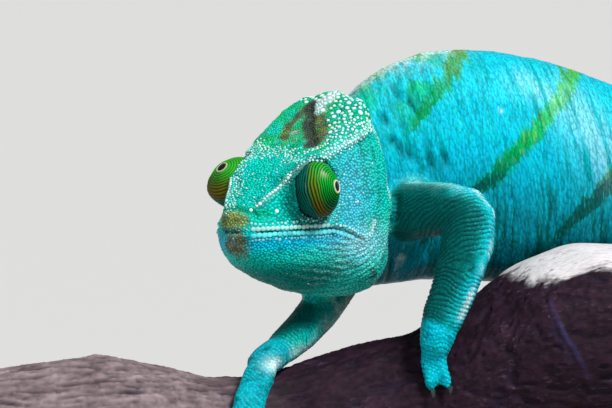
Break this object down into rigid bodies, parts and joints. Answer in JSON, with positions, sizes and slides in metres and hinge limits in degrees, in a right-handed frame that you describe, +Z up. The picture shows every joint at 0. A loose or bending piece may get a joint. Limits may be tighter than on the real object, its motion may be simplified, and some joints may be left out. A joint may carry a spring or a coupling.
{
  "type": "parson's chameleon model on a perch",
  "caption": "Life-size still model of a Parson's chameleon gripping a cut length of branch, its tail curled behind, held over a flat display base by plain rods.",
  "frame": {"origin": "centre of the stand base's underside, where it rests on a table", "axes": "-X is the way the animal walks, its left side faces -Y, +Z is up"},
  "size_m": [0.3447, 0.116, 0.1879],
  "materials": {
    "skin": "painted skin, turquoise with oblique green-yellow stripes, granular scales and white beads on the head's ridges, a soft sheen",
    "eyelids": "fused eyelids in fine concentric rings of green, yellow and orange-brown",
    "eyes": "black pupil with a pale ring, wet gloss",
    "claws": "smooth grey-green horn",
    "bark": "rough dark purple-brown bark, worn to pale smooth wood on the knob",
    "base_wood": "satin-varnished plain wood",
    "rod_steel": "plain brushed rod"
  },
  "bodies": {
    "root": {"eyeball_left": "eyes", "eyeball_right": "eyes", "eyelid_left": "eyelids", "eyelid_right": "eyelids", "foot_left": "skin", "foot_left_inner_claw_1": "claws", "foot_left_inner_claw_2": "claws", "foot_left_inner_toes": "skin", "foot_left_outer_claw_1": "claws", "foot_left_outer_claw_2": "claws", "foot_left_outer_claw_3": "claws", "foot_left_outer_toes": "skin", "foot_right": "skin", "foot_right_inner_claw_1": "claws", "foot_right_inner_claw_2": "claws", "foot_right_inner_toes": "skin", "foot_right_outer_claw_1": "claws", "foot_right_outer_claw_2": "claws", "foot_right_outer_claw_3": "claws", "foot_right_outer_toes": "skin", "forearm_left": "skin", "forearm_right": "skin", "hand_left": "skin", "hand_left_inner_claw_1": "claws", "hand_left_inner_claw_2": "claws", "hand_left_inner_claw_3": "claws", "hand_left_inner_toes": "skin", "hand_left_outer_claw_1": "claws", "hand_left_outer_claw_2": "claws", "hand_left_outer_toes": "skin", "hand_right": "skin", "hand_right_inner_claw_1": "claws", "hand_right_inner_claw_2": "claws", "hand_right_inner_claw_3": "claws", "hand_right_inner_toes": "skin", "hand_right_outer_claw_1": "claws", "hand_right_outer_claw_2": "claws", "hand_right_outer_toes": "skin", "head": "skin", "lower_jaw": "skin", "neck": "skin", "perch": "bark", "shin_left": "skin", "shin_right": "skin", "stand_base": "base_wood", "stand_rod_front": "rod_steel", "stand_rod_rear": "rod_steel", "tail_1": "skin", "tail_2": "skin", "tail_3": "skin", "tail_4": "skin", "tail_5": "skin", "tail_6": "skin", "thigh_left": "skin", "thigh_right": "skin", "trunk": "skin", "upper_arm_left": "skin", "upper_arm_right": "skin"}
  },
  "joints": []
}
